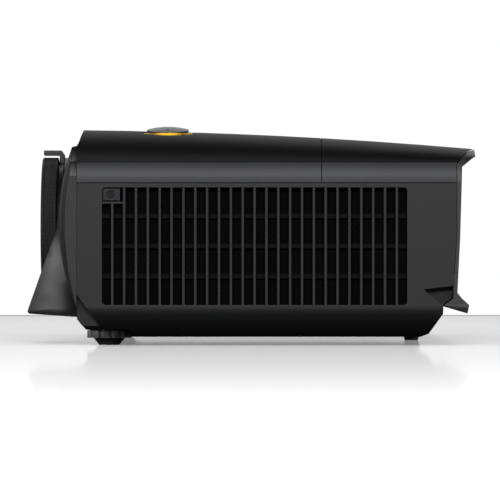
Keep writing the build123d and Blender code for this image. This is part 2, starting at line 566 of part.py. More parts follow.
lamp_y0, lamp_y1 = 4.0, 60.0
lamp_case = block(axis_x - 37, axis_x + 37, lamp_y0, lamp_y1, 21.0, 99.0)
lamp_case -= block(axis_x - 35, axis_x + 35, lamp_y0 + 2, lamp_y1 - 2, 23.0, 97.0)
lamp_case -= rod_y(27.0, 0, lamp_y0 + 4, axis_x, axis_z)
for x in (axis_x - 30, axis_x + 30):
    for y in (lamp_y0 + 6, lamp_y1 - 6):
        lamp_case += rod_z(4.0, tray_top, 22.0, x, y)
nodes["lamp_housing"] = lamp_case
cup = [
    ThreePointArc((31.0, lamp_y0 + 2), (23.0, lamp_y0 + 25.0), (6.0, lamp_y0 + 40.0)),
    Line((6.0, lamp_y0 + 40.0), (6.0, lamp_y0 + 50.0)),
    Line((6.0, lamp_y0 + 50.0), (9.0, lamp_y0 + 50.0)),
    Line((9.0, lamp_y0 + 50.0), (9.0, lamp_y0 + 41.5)),
    ThreePointArc((9.0, lamp_y0 + 41.5), (26.5, lamp_y0 + 26.5), (34.0, lamp_y0 + 2)),
    Line((34.0, lamp_y0 + 2), (31.0, lamp_y0 + 2)),
]
reflector = revolve(Plane.XY * make_face(cup), Axis.Y)
burner = rod_y(3.0, lamp_y0 + 16, lamp_y0 + 52, axis_x, axis_z)
burner += Pos(axis_x, lamp_y0 + 30, axis_z) * Sphere(5.4)
burner += rod_y(6.2, lamp_y0 + 42, lamp_y0 + 49.9, axis_x, axis_z)
nodes["lamp_bulb"] = burner + Pos(axis_x, 0, axis_z) * reflector
nodes["lamp_ballast"] = block(58, 84, 4, 60, tray_top, 44) - [
    block(57, 85, y, y + 3, 36, 45) for y in range(8, 58, 7)]


# ---------------------------------------------------------------- fans
fan_x, fan_z, fan_half, fan_depth = 38.0, 54.2, 40.0, 24.0


def fan(side):
    """Square fan just inside one flank: its frame with a hub on struts, and its rotor."""
    out = half_width - 7.6
    y_out, y_in = side * out, side * (out - fan_depth)
    low, high = sorted((y_out, y_in))
    frame = block(fan_x - fan_half, fan_x + fan_half, low, high, fan_z - fan_half, fan_z + fan_half)
    frame -= rod_y(38.0, low - 1, high + 1, fan_x, fan_z)
    plate = sorted((y_in, y_in + side * 2.5))
    frame += rod_y(14.0, *plate, fan_x, fan_z)
    for angle in (45, 135):
        strut = Box(78.0, 2.5, 4.0)
        frame += Pos(fan_x, sum(plate) / 2, fan_z) * Rot(0, angle, 0) * strut
    frame += rod_y(1.6, *sorted((y_in, y_out - side * 4)), fan_x, fan_z)
    for dx in (-1, 1):
        for dz in (-1, 1):
            frame -= rod_y(2.2, low - 1, high + 1, fan_x + dx * 35.7, fan_z + dz * 35.7)
    hub_in, hub_out = y_in + side * 3.2, y_out - side * 3.0
    rotor = rod_y(15.0, *sorted((hub_in, hub_out)), fan_x, fan_z)
    for index in range(7):
        blade = Pos(25.0, 0, 0) * Rot(38, 0, 0) * Box(23.0, 22.0, 1.4)
        rotor += Pos(fan_x, (hub_in + hub_out) / 2, fan_z) * Rot(0, index * 360 / 7, 0) * blade
    rotor = rotor & rod_y(36.6, *sorted((hub_in, hub_out)), fan_x, fan_z)
    return frame, rotor - rod_y(1.6 + running, *sorted((y_in, y_out - side * 3.9)), fan_x, fan_z)


fan_frames = []
for side, name in ((-1, "intake"), (1, "exhaust")):
    frame, nodes[f"{name}_rotor"] = fan(side)
    fan_frames.append(frame)
nodes["fan_frames"] = Compound(fan_frames)


# ---------------------------------------------------------------- power, sound and base frame
tray = block(-64, 84, -154, 154, tray_top - 1.5, tray_top)
for y in (-154, 152.5):
    tray += block(-64, 84, y, y + 1.5, tray_top - 1, tray_top + 4)
nodes["base_frame"] = tray + wheel_bracket
supply = block(-60, 46, 70, 146, 14.0, 15.6)
for x in (-54, 40):
    for y in (76, 140):
        supply += rod_z(3.0, tray_top, 14.5, x, y)
supply += block(-40, -8, 84, 116, 15, 48)
supply += block(4, 24, 120, 140, 15, 38)
for x, y in ((8, 82), (26, 82), (-50, 128), (-28, 132)):
    supply += rod_z(7.0, 15, 40, x, y)
nodes["power_supply"] = supply
speakers = []
for side in (-1, 1):
    y_face = side * (half_width - 7.4)
    box = block(-84, -57, *sorted((y_face, y_face - side * 30)), 26, 88)
    cone = rod_y(11.0, *sorted((y_face + side, y_face - side * 5)), -70.5, 66)
    cone += rod_y(11.0, *sorted((y_face + side, y_face - side * 5)), -70.5, 40)
    for z in (40, 66):
        cone -= rod_y(4.0, *sorted((y_face - side * 2, y_face - side * 6)), -70.5, z)
    speakers.append(box - cone)
nodes["speakers"] = Compound(speakers)


# ---------------------------------------------------------------- feet, inserts and screws
insert_x, insert_y = (-72.0, 90.0), (-110.0, 110.0)
case_screw_places = [(-75, 0), (-25, -168), (-25, 168), (90, -168), (90, 168), (90, 55)]
wheel_radius_foot, wheel_z0, wheel_z1 = 13.0, 4.2, 8.7
pocket_x0, pocket_x1, pocket_depth = foot_x - 14.6, foot_x + 13.2, 27.0    # opening round a thumb wheel
shell = nodes["lower_shell"]
for side in (-1, 1):
    y = side * foot_y
    shell += rod_z(16.4, 7.2, 11.6, foot_x, y) & lower_envelope(0.0)
    shell += rod_z(9.0, 11.0, 22.0, foot_x, y)
    pocket_y = half_width - pocket_depth
    pocket_wall = block(pocket_x0 - 1.9, pocket_x1 + 1.9, *sorted((side * (pocket_y - 2), side * half_width)),
                        base_z + 0.2, 11.6)
    shell += pocket_wall & lower_envelope(0.0)
    pocket_y = half_width - pocket_depth
    pocket_wall = block(pocket_x0 - 1.9, pocket_x1 + 1.9, *sorted((side * (pocket_y - 2), side * half_width)),
                        base_z + 0.2, 11.6)
    shell += pocket_wall & lower_envelope(0.0)
    shell -= rod_z(14.2, 0, 9.4, foot_x, y)
    shell -= block(pocket_x0, pocket_x1, *sorted((side * pocket_y, side * (half_width + 10))), 0, 9.3)
    shell -= rod_z(6.5, 11.6, 23, foot_x, y) + rod_z(4.6, 5, 15, foot_x, y)
for x in insert_x:
    for y in insert_y:
        shell += rod_z(5.5, 7.0, 17.0, x, y)
        shell -= rod_z(3.5, 0, 15.0, x, y)
for x, y in case_screw_places:
    shell += rod_z(5.2, 7.0, 20.0, x, y)
    shell -= rod_z(3.6, 0, 8.0, x, y) + rod_z(1.5, 0, 19.0, x, y)
shell -= rod_z(3.0, 0, 9, rear_foot_x, 0)
nodes["lower_shell"] = shell
nodes["brass_inserts"] = Part() + [
    tube_z(3.5, 2.0, base_z, 15.0, x, y) for x in insert_x for y in insert_y] + [
    tube_z(6.5, 4.0 + running, 11.6, 22.0, foot_x, side * foot_y) for side in (-1, 1)]
nodes["case_screws"] = Part() + [
    rod_z(3.0, 5.6, 7.9, x, y) + rod_z(1.5, 7.8, 18.5, x, y) - Pos(x, y, 5.6) * Box(3.4, 0.7, 2.0)
    - Pos(x, y, 5.6) * Box(0.7, 3.4, 2.0) for x, y in case_screw_places]
nodes["rear_foot"] = Pos(rear_foot_x, 0, 2.5) * Cone(4.1, 5.6, 5.0) + rod_z(3.0, 4.9, 7.4, rear_foot_x, 0)

for side, name in ((-1, "left"), (1, "right")):
    y = side * foot_y
    wheel = rod_z(wheel_radius_foot, wheel_z0, wheel_z1, foot_x, y)
    for index in range(13):
        angle = math.radians(index * 360 / 13)
        wheel -= rod_z(1.7, 0, 12, foot_x + 13.7 * math.cos(angle), y + 13.7 * math.sin(angle))
    wheel += rod_z(4.0, wheel_z1 - 0.1, 26.0, foot_x, y)
    nodes[f"foot_wheel_{name}"] = wheel - rod_z(2.5 + running, 0, 7.2, foot_x, y)
    pad = Pos(foot_x, y, 1.95) * Cone(6.0, 9.2, 3.9)
    nodes[f"foot_pad_{name}"] = pad + rod_z(2.5, 3.8, 7.0, foot_x, y)


# ---------------------------------------------------------------- keypad
keypad_board_top = 109.8
board = block(64, 106, 68, 148, 108.2, keypad_board_top)
for x, y in ((66.5, 92), (66.5, 124), (103.5, 92), (103.5, 124)):
    board += rod_z(2.0, keypad_board_top - 0.5, roof_height(x) - wall - 1.2, x, y)
nodes["keypad_board"] = board
for name, (x, y) in key_places.items():
    surface = roof_height(x) - 0.7 * (y / 148.0) ** 2
    key = rod_z(key_radius, surface - 5.0, surface + 0.6, x, y)
    key = chamfer(key.edges().group_by(Axis.Z)[-1], 0.4)
    key += rod_z(key_radius + 1.2, surface - 5.2, surface - 3.9, x, y)
    nodes[name] = key + rod_z(1.8, keypad_board_top + key_travel + 0.1, surface - 5.0, x, y)

for name, shape in nodes.items():
    solid = Compound(list(shape)) if isinstance(shape, list) else shape
    solid.label = name
    export_step(solid, f"parts/{name}.step")
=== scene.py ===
# %% [markdown]
# # A home projector, finished in Blender
# The CAD model already holds every part at its real size. This script gives each part the finish
# of the real one and adds the few pieces that are too fine for CAD: the knurl on the focus ring
# and the dust filters behind the side grilles.

# %% Load the frame
import bpy
import bmesh
import math
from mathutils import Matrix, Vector


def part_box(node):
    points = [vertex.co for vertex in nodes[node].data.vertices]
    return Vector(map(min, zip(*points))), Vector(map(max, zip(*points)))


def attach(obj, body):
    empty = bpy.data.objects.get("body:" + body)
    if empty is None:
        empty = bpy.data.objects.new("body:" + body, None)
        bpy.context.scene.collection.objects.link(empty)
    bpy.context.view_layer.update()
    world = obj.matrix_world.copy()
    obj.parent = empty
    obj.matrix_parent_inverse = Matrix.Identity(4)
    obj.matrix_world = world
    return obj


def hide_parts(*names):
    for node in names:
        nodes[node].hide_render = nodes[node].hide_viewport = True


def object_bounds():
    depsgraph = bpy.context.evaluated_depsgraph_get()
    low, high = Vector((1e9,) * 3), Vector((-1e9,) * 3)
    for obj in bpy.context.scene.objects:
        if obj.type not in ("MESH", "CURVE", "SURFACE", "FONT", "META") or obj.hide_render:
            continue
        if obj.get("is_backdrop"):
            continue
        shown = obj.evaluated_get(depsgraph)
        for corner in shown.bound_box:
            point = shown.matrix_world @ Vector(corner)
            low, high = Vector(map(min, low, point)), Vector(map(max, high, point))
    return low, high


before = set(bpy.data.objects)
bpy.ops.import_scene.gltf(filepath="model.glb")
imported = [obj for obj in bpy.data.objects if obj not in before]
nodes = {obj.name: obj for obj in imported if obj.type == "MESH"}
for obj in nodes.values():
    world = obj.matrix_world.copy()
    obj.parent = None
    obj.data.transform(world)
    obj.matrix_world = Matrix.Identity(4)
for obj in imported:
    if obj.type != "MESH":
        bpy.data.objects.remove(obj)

cad_low, cad_high = (list(corner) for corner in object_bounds())
MM = 0.001           # one millimetre, in the metres that Blender and the frame use
print("loaded", len(nodes), "nodes, size", [round(h - l, 4) for l, h in zip(cad_low, cad_high)])

# %% [markdown]
# ## Small helpers
# Blender works with linear light, while colours are usually picked as sRGB hex values, so one
# function converts them. A second one adds a shader node with its settings and links. It could be
# one function per kind of node, but a single one keeps every material readable as a list of steps.
# The others start an empty material, darken a colour, turn a real size into a pattern's scale, and
# make an object of the scene from finished points and faces.

# %% Colour and node helpers
def linear(hex_colour):
    """An sRGB hex colour as linear RGBA."""
    channels = [int(hex_colour[i:i + 2], 16) / 255 for i in (1, 3, 5)]
    return [c / 12.92 if c <= 0.04045 else ((c + 0.055) / 1.055) ** 2.4 for c in channels] + [1.0]


def add(tree, kind, settings=None, **inputs):
    """Adds a node. An input given as a socket is linked, and any other value is set on it.

    Input names have their spaces written as underscores, and in3 means the input at place 3.
    """
    made = tree.nodes.new(kind)
    for name, value in (settings or {}).items():
        setattr(made, name, value)
    for name, value in inputs.items():
        place = int(name[2:]) if name[:2] == "in" and name[2:].isdigit() else name.replace("_", " ")
        if isinstance(value, bpy.types.NodeSocket):
            tree.links.new(value, made.inputs[place])
        else:
            made.inputs[place].default_value = value
    return made


def new_material(name):
    """An empty node material: its tree, its output node and the object coordinates in metres."""
    material = bpy.data.materials.new(name)
    material.use_nodes = True
    tree = material.node_tree
    tree.nodes.clear()
    place = add(tree, "ShaderNodeTexCoord").outputs["Object"]
    return material, tree, add(tree, "ShaderNodeOutputMaterial"), place


def shade(colour, factor):
    """A linear colour made darker or lighter."""
    return [c * factor for c in colour[:3]] + [1.0]


def per_metre(size_mm):
    """How many marks of one size fit in a metre, which is a pattern's scale."""
    return 1000 / size_mm


def mesh_object(name, maker):
    """Turns what a bmesh holds into a new object of the scene."""
    mesh = bpy.data.meshes.new(name)
    maker.to_mesh(mesh)
    maker.free()
    made = bpy.data.objects.new(name, mesh)
    bpy.context.scene.collection.objects.link(made)
    return made


print("black plastic #1a1b1d is", [round(c, 4) for c in linear("#1a1b1d")])

# %% [markdown]
# ## Moulded ABS
# The whole case is injection-moulded ABS. The mould is spark eroded, which leaves a fine even
# grain, so light spreads softly and no reflection is sharp. The grain could be a displaced mesh,
# but at a few tenths of a millimetre it is finer than the mesh, so it is drawn as bump from noise,
# one cell per grain. A slow second noise varies colour and gloss a little, as flow in the mould
# and handling do.

# %% Textured ABS
ABS_IOR = 1.53
PATCH_MM = 70.0          # how far apart the slow changes of colour and gloss are


def textured_abs(name, hex_colour, roughness, grain_mm, depth_mm):
    material, tree, output, place = new_material(name)
    grain = add(tree, "ShaderNodeTexNoise", Vector=place, Scale=per_metre(grain_mm), Detail=2.0,
                Roughness=0.5)
    patch = add(tree, "ShaderNodeTexNoise", Vector=place, Scale=per_metre(PATCH_MM), Detail=3.0,
                Roughness=0.6)
    base = linear(hex_colour)
    tint = add(tree, "ShaderNodeMix", {"data_type": "RGBA"}, in0=patch.outputs[0],
               in6=shade(base, 0.86), in7=base)
    rough = add(tree, "ShaderNodeMapRange", Value=patch.outputs[0], To_Min=roughness - 0.05,
                To_Max=roughness + 0.05)
    bump = add(tree, "ShaderNodeBump", Height=grain.outputs[0], Strength=0.55,
               Distance=depth_mm * MM)
    shader = add(tree, "ShaderNodeBsdfPrincipled", Base_Color=tint.outputs[2], IOR=ABS_IOR,
                 Roughness=rough.outputs[0], Normal=bump.outputs[0], Specular_IOR_Level=0.5)
    tree.links.new(shader.outputs[0], output.inputs[0])
    return material


shroud_abs = textured_abs("abs_graphite_lens_shroud", "#1b1c1e", 0.36, 0.45, 0.02)
trim_abs = textured_abs("abs_graphite_rear_trim", "#2b2c2e", 0.45, 0.45, 0.03)
panel_abs = textured_abs("abs_black_socket_panel", "#151516", 0.52, 0.60, 0.05)
inner_abs = textured_abs("abs_black_inner_parts", "#0c0c0d", 0.55, 0.60, 0.04)
control_abs = textured_abs("abs_black_controls", "#161618", 0.34, 0.35, 0.01)
foot_abs = textured_abs("abs_grey_thumb_wheel", "#77787b", 0.40, 0.50, 0.03)
print("finishes so far:", len(bpy.data.materials))

# %% [markdown]
# ## Mouldings with painted shade
# The grille's ribs are bare charcoal plastic, but the rails behind them are masked and painted
# black as painted shade of the recess, so the slots read as dark. The fascia's ends carry fine
# moulded arcs, and the bevel in front of them is painted black as painted shade on that rounded
# edge. The top cover has bare satin plastic below its crease, and above it the shoulder is painted
# black as painted shade of a surface turned up to the dark overhead. The lower shell is painted
# black in its hollows and underneath, as painted shade. The painted shade follows the shape here:
# depth from the flank picks out rails and hollows, height picks out the shoulder, and the way the
# surface faces picks out the bevel.

# %% Painted shade masks
# Distances from the middle plane: painted shade up to the first, bare from the second.
RAIL_DEPTH = (185.9 * MM, 186.6 * MM)
HOLLOW_DEPTH = (184.5 * MM, 189.2 * MM)
CREASE_Z = 107.2 * MM                    # where the cover's side turns into its shoulder
ARC_CENTRE = (152.0 * MM, 0.0, 68.0 * MM)
ARC_PITCH = 1.6 * MM
# How far a surface faces sideways, from 0 for the front to 1 for the flat ends.
FRONT_TO_BEVEL = (0.05, 0.12)
BEVEL_TO_END = (0.80, 0.97)


def painted_shade_by_depth(tree, place, depths):
    """Painted shade nearer to the middle of the object than the given distances."""
    split = add(tree, "ShaderNodeSeparateXYZ", Vector=place)
    depth = add(tree, "ShaderNodeMath", {"operation": "ABSOLUTE"}, in0=split.outputs["Y"])
    full_shade_depth, bare = depths
    return add(tree, "ShaderNodeMapRange", Value=depth.outputs[0], From_Min=full_shade_depth, From_Max=bare,
               To_Min=1.0, To_Max=0.0).outputs[0]


def painted_shade_above(tree, place, height):
    """Painted shade above a height, with an edge 0.7 mm wide."""
    split = add(tree, "ShaderNodeSeparateXYZ", Vector=place)
    return add(tree, "ShaderNodeMapRange", Value=split.outputs["Z"], From_Min=height - 0.2 * MM,
               From_Max=height + 0.5 * MM).outputs[0]


def painted_shade_on_bevel(tree):
    """Painted shade where the surface faces partly sideways: neither the front nor the flat ends.
    """
    facing = add(tree, "ShaderNodeTexCoord").outputs["Normal"]
    split = add(tree, "ShaderNodeSeparateXYZ", Vector=facing)
    sideways = add(tree, "ShaderNodeMath", {"operation": "ABSOLUTE"}, in0=split.outputs["Y"])
    not_end = add(tree, "ShaderNodeMapRange", Value=sideways.outputs[0],
                  From_Min=BEVEL_TO_END[0], From_Max=BEVEL_TO_END[1], To_Min=1.0, To_Max=0.0)
    not_front = add(tree, "ShaderNodeMapRange", Value=sideways.outputs[0],
                    From_Min=FRONT_TO_BEVEL[0], From_Max=FRONT_TO_BEVEL[1])
    return add(tree, "ShaderNodeMath", {"operation": "MULTIPLY"}, in0=not_end.outputs[0],
               in1=not_front.outputs[0]).outputs[0]


def moulded_arcs(tree, place, grain):
    """Fine arcs about one centre, as a bump height, with the grain on top."""
    shifted = add(tree, "ShaderNodeVectorMath", {"operation": "SUBTRACT"}, in0=place,
                  in1=ARC_CENTRE)
    flat = add(tree, "ShaderNodeVectorMath", {"operation": "MULTIPLY"}, in0=shifted.outputs[0],
               in1=(1.0, 0.0, 1.0))
    reach = add(tree, "ShaderNodeVectorMath", {"operation": "LENGTH"}, in0=flat.outputs[0])
    phase = add(tree, "ShaderNodeMath", {"operation": "MULTIPLY"}, in0=reach.outputs["Value"],
                in1=2 * math.pi / ARC_PITCH)
    wave = add(tree, "ShaderNodeMath", {"operation": "SINE"}, in0=phase.outputs[0])
    return add(tree, "ShaderNodeMath", {"operation": "MULTIPLY_ADD"}, in0=wave.outputs[0], in1=3.0,
               in2=grain).outputs[0]


# %% ABS with painted shade
GRAIN_MM = 0.4
# Near-black that stands in for shade: painted shade on rails, hollows, shoulder and bevel.
PAINTED_SHADE_BLACK = linear("#020203")
BARE_ROUGHNESS, PAINTED_SHADE_ROUGHNESS = 0.40, 0.62


def abs_with_painted_shade(name, hex_colour, mask_kind, gloss):
    """Textured ABS whose masked areas are painted black as painted shade."""
    material, tree, output, place = new_material(name)
    cells = add(tree, "ShaderNodeTexNoise", Vector=place, Scale=per_metre(GRAIN_MM), Detail=2.0)
    grain = cells.outputs[0]
    height = grain
    if mask_kind == "rails":
        shade_mask = painted_shade_by_depth(tree, place, RAIL_DEPTH)
    elif mask_kind == "hollows":
        shade_mask = painted_shade_by_depth(tree, place, HOLLOW_DEPTH)
    elif mask_kind == "shoulder":
        shade_mask = painted_shade_above(tree, place, CREASE_Z)
    else:
        shade_mask = painted_shade_on_bevel(tree)
        height = moulded_arcs(tree, place, grain)
    tint = add(tree, "ShaderNodeMix", {"data_type": "RGBA"}, in0=shade_mask, in6=linear(hex_colour),
               in7=PAINTED_SHADE_BLACK)
    rough = add(tree, "ShaderNodeMapRange", Value=shade_mask, To_Min=BARE_ROUGHNESS,
                To_Max=PAINTED_SHADE_ROUGHNESS)
    bump = add(tree, "ShaderNodeBump", Height=height, Strength=0.5, Distance=0.03 * MM)
    shader = add(tree, "ShaderNodeBsdfPrincipled", Base_Color=tint.outputs[2], IOR=ABS_IOR,
                 Roughness=rough.outputs[0], Normal=bump.outputs[0], Specular_IOR_Level=gloss)
    tree.links.new(shader.outputs[0], output.inputs[0])
    return material


# The lower shell's hollows and tucked-in underside are painted black: painted shade.
case_abs = abs_with_painted_shade("abs_charcoal_case_shade_painted_hollows", "#111214", "hollows", 0.42)
# The shoulder above the crease is painted black: painted shade of the upward-facing surface.
top_abs = abs_with_painted_shade("abs_satin_cover_shade_painted_shoulder", "#38393c", "shoulder", 0.24)
# The recessed rails behind the ribs are painted black: painted shade.
grille_abs = abs_with_painted_shade("abs_charcoal_grille_shade_painted_rails", "#38393b", "rails", 0.12)
# The fascia's bevel is painted black: painted shade on the rounded edge.
front_abs = abs_with_painted_shade("abs_graphite_fascia_shade_painted_bevel", "#2e2f31", "bevel", 0.36)
print("finishes so far:", len(bpy.data.materials))

# %% [markdown]
# ## Metals
# Inside are die-cast aluminium, zinc-plated steel, black-anodised lens tubes and brass inserts,
# and the dial has a gold-plated trim ring. A metal's colour is its reflection, so these are fully
# metallic. What sets them apart is roughness and the marks of their making: turned parts carry
# fine rings, castings a soft orange-peel, rolled sheet straight lines.

# %% Metal finishes
def worked_metal(name, hex_colour, roughness, mark_mm, stretch=(1, 1, 1), depth_mm=0.01):
    """Metal with marks mark_mm apart, drawn out along the axes whose stretch is small."""
    material, tree, output, place = new_material(name)
    drawn = add(tree, "ShaderNodeMapping", Vector=place, Scale=stretch)
    marks = add(tree, "ShaderNodeTexNoise", Vector=drawn.outputs[0], Scale=per_metre(mark_mm),
                Detail=3.0)
    rough = add(tree, "ShaderNodeMapRange", Value=marks.outputs[0], To_Min=roughness - 0.08,
                To_Max=roughness + 0.08)
    bump = add(tree, "ShaderNodeBump", Height=marks.outputs[0], Strength=0.4,
               Distance=depth_mm * MM)
    shader = add(tree, "ShaderNodeBsdfPrincipled", Base_Color=linear(hex_colour), Metallic=1.0,
                 Roughness=rough.outputs[0], Normal=bump.outputs[0])
    tree.links.new(shader.outputs[0], output.inputs[0])
    return material


gold_plate = worked_metal("gold_plated_trim", "#c9a032", 0.40, 0.30)
cast_aluminium = worked_metal("die_cast_aluminium", "#a6a8ab", 0.46, 0.90, depth_mm=0.05)
zinc_steel = worked_metal("zinc_plated_sheet_steel", "#b4b5b3", 0.36, 0.40, stretch=(1, 0.05, 1))
black_anodised = worked_metal("black_anodised_aluminium", "#1b1b1d", 0.38, 0.30,
                              stretch=(1, 0.1, 0.1))
nickel_steel = worked_metal("nickel_plated_socket_steel", "#b9b7ae", 0.30, 0.30)
dark_screw = worked_metal("black_zinc_screw", "#2d2d30", 0.40, 0.25)
brass = worked_metal("turned_brass", "#c9a24e", 0.32, 0.25, stretch=(0.2, 0.2, 1))
print("finishes so far:", len(bpy.data.materials))

# %% [markdown]
# ## Glass, rubber and circuit board
# The lens is coated glass: clear, with a faint violet-green bloom that comes from the coating's
# thin film. The infrared window is polished plastic, so deep red that it looks black until light
# catches it. Feet are soft rubber, which is rough and slightly dusty. Boards are green solder mask
# over copper tracks.

# %% Glass finishes
def clear_glass(name, hex_colour, film_nm=0.0, roughness=0.02, through=1.0):
    material, tree, output, place = new_material(name)
    haze = add(tree, "ShaderNodeTexNoise", Vector=place, Scale=per_metre(12.0), Detail=2.0)
    rough = add(tree, "ShaderNodeMapRange", Value=haze.outputs[0], To_Min=roughness,
                To_Max=roughness + 0.02)
    shader = add(tree, "ShaderNodeBsdfPrincipled", Base_Color=linear(hex_colour), IOR=1.52,
                 Roughness=rough.outputs[0], Transmission_Weight=through,
                 Thin_Film_Thickness=film_nm, Thin_Film_IOR=1.38)
    tree.links.new(shader.outputs[0], output.inputs[0])
    return material


lens_glass = clear_glass("coated_lens_glass", "#e6ecf4", film_nm=420.0)
lamp_glass = clear_glass("quartz_and_reflector_glass", "#dfe2e6", film_nm=300.0, roughness=0.1,
                         through=0.6)
filter_glass = clear_glass("dichroic_wheel_glass", "#caa58c", film_nm=520.0, roughness=0.04,
                           through=0.6)
red_window = clear_glass("infrared_window_acrylic", "#2a0508", roughness=0.04, through=0.25)
print("finishes so far:", len(bpy.data.materials))

# %% Rubber and board finishes
def soft_rubber(name, hex_colour, grain_mm=0.5):
    material, tree, output, place = new_material(name)
    grain = add(tree, "ShaderNodeTexNoise", Vector=place, Scale=per_metre(grain_mm), Detail=4.0)
    dust = add(tree, "ShaderNodeTexNoise", Vector=place, Scale=per_metre(9.0), Detail=4.0)
    base = linear(hex_colour)
    dusty = [c * 1.5 + 0.004 for c in base[:3]] + [1.0]
    tint = add(tree, "ShaderNodeMix", {"data_type": "RGBA"}, in0=dust.outputs[0], in6=base,
               in7=dusty)
    bump = add(tree, "ShaderNodeBump", Height=grain.outputs[0], Strength=0.6, Distance=0.05 * MM)
    shader = add(tree, "ShaderNodeBsdfPrincipled", Base_Color=tint.outputs[2], Roughness=0.72,
                 Normal=bump.outputs[0], IOR=1.5)
    tree.links.new(shader.outputs[0], output.inputs[0])
    return material


def circuit_board(name, mask_hex, track_mm=1.4):
    material, tree, output, place = new_material(name)
    mask = linear(mask_hex)
    tracks = add(tree, "ShaderNodeTexBrick", Vector=place, Scale=per_metre(track_mm * 4),
                 Mortar_Size=0.02, Color1=mask, Color2=shade(mask, 0.8), Mortar=linear("#4d8a4a"))
    bump = add(tree, "ShaderNodeBump", Height=tracks.outputs["Fac"], Strength=0.3,
               Distance=0.05 * MM)
    shader = add(tree, "ShaderNodeBsdfPrincipled", Base_Color=tracks.outputs[0], Roughness=0.35,
                 Normal=bump.outputs[0])
    tree.links.new(shader.outputs[0], output.inputs[0])
    return material


foot_rubber = soft_rubber("foot_rubber_black", "#1b1b1b")
grip_rubber = soft_rubber("focus_grip_rubber", "#1c1c1e", 0.4)
green_board = circuit_board("solder_mask_board", "#1c5a30")
print("finishes so far:", len(bpy.data.materials))

# %% [markdown]
# ## Put the finishes on the CAD parts
# Every CAD part keeps its mesh. Its finish follows from what the real part is made of, so one list
# per finish is the clearest way to say it.

# %% Assign finishes
finishes = {
    case_abs: ["lower_shell"],
    top_abs: ["upper_shell_front", "upper_shell_rear"],
    front_abs: ["front_fascia"],
    shroud_abs: ["lens_shroud", "zoom_ring"],
    trim_abs: ["rear_bezel"],
    panel_abs: ["rear_panel", "power_inlet"],
    grille_abs: ["side_grille_left", "side_grille_right", "service_plates"],
    control_abs: ["shift_dial", "up_key", "down_key", "left_key", "right_key", "menu_key",
                  "power_key"],
    inner_abs: ["fan_frames", "intake_rotor", "exhaust_rotor", "lamp_housing", "lamp_ballast",
                "speakers"],
    foot_abs: ["foot_wheel_left", "foot_wheel_right"],
    foot_rubber: ["foot_pad_left", "foot_pad_right", "rear_foot"],
    grip_rubber: ["focus_ring"],
    gold_plate: ["dial_trim_ring"],
    black_anodised: ["lens_barrel", "lens_retainer", "focus_cell", "zoom_cell"],
    cast_aluminium: ["light_engine_housing", "lens_carriage", "chip_heatsink"],
    zinc_steel: ["base_frame", "lens_mount_frame", "shift_guide_rods", "shift_screw",
                 "color_wheel_motor"],
    dark_screw: ["case_screws", "service_screws"],
    brass: ["brass_inserts"],
    nickel_steel: ["digital_sockets", "analog_sockets"],
    lens_glass: ["front_lens", "zoom_lens", "rear_lens"],
    lamp_glass: ["lamp_bulb", "light_tunnel"],
    filter_glass: ["color_wheel"],
    red_window: ["ir_window"],
    green_board: ["main_board", "mirror_chip_board", "keypad_board", "power_supply"],
}
for finish, names in finishes.items():
    for name in names:
        nodes[name].data.materials.clear()
        nodes[name].data.materials.append(finish)
without = sorted(set(nodes) - {name for names in finishes.values() for name in names})
print("parts with no finish yet:", without)

# %% [markdown]
# ## Soft edges
# No moulded edge is razor sharp: it has a radius of a few tenths of a millimetre, and that radius
# catches the light. A Bevel modifier adds it to the CAD mesh without changing the part. The
# imported mesh is split along its sharp edges, so a Weld modifier joins it first.

# %% Edge rounding
def round_edges(name, width_mm):
    part = nodes[name]
    weld = part.modifiers.new("join", "WELD")
    weld.merge_threshold = 0.002 * MM
    bevel = part.modifiers.new("edge radius", "BEVEL")
    bevel.width = width_mm * MM
    bevel.segments = 2
    bevel.limit_method = "ANGLE"
    bevel.angle_limit = math.radians(32.0)       # flatter edges belong to curved faces and stay
    bevel.harden_normals = True
    bevel.miter_outer = "MITER_ARC"


edge_radius_mm = {
    "front_fascia": 0.5, "lens_shroud": 0.25, "rear_bezel": 0.5, "service_plates": 0.25,
    "zoom_ring": 0.4, "foot_wheel_left": 0.35, "foot_wheel_right": 0.35, "side_grille_left": 0.2,
    "side_grille_right": 0.2, "rear_panel": 0.3,
}
for name, width in edge_radius_mm.items():
    round_edges(name, width)
print("rounded:", ", ".join(edge_radius_mm))

# %% [markdown]
# ## Knurled focus ring
# The focus ring is a rubber grip with a fine diamond knurl. Bump alone would leave its outline
# smooth, so the grip is built as real geometry: a tube whose skin rises and falls where two
# families of helical grooves cross. Smooth lands stay at both ends, as on the moulded part.

# %% Measure the ring
ring_low, ring_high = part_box("focus_ring")
barrel_low, barrel_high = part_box("lens_barrel")
ring_outer = (ring_high.z - ring_low.z) / 2
ring_bore = (barrel_high.z - barrel_low.z) / 2 + 0.05 * MM
lip_bore = ring_outer - 11.8 * MM  # the lip in front covers the lens's edge
groove_depth = 0.45 * MM
diamonds = 110                     # knurls round the ring, about 2.4 mm each
STEPS_PER_DIAMOND = 8
GRIP_ROWS = 14
front_x, back_x = ring_low.x, ring_high.x
grip_x0, grip_x1 = front_x + 1.7 * MM, back_x - 1.3 * MM
print("ring", round(2 * ring_outer / MM, 1), "mm across and",
      round((back_x - front_x) / MM, 1), "mm long")

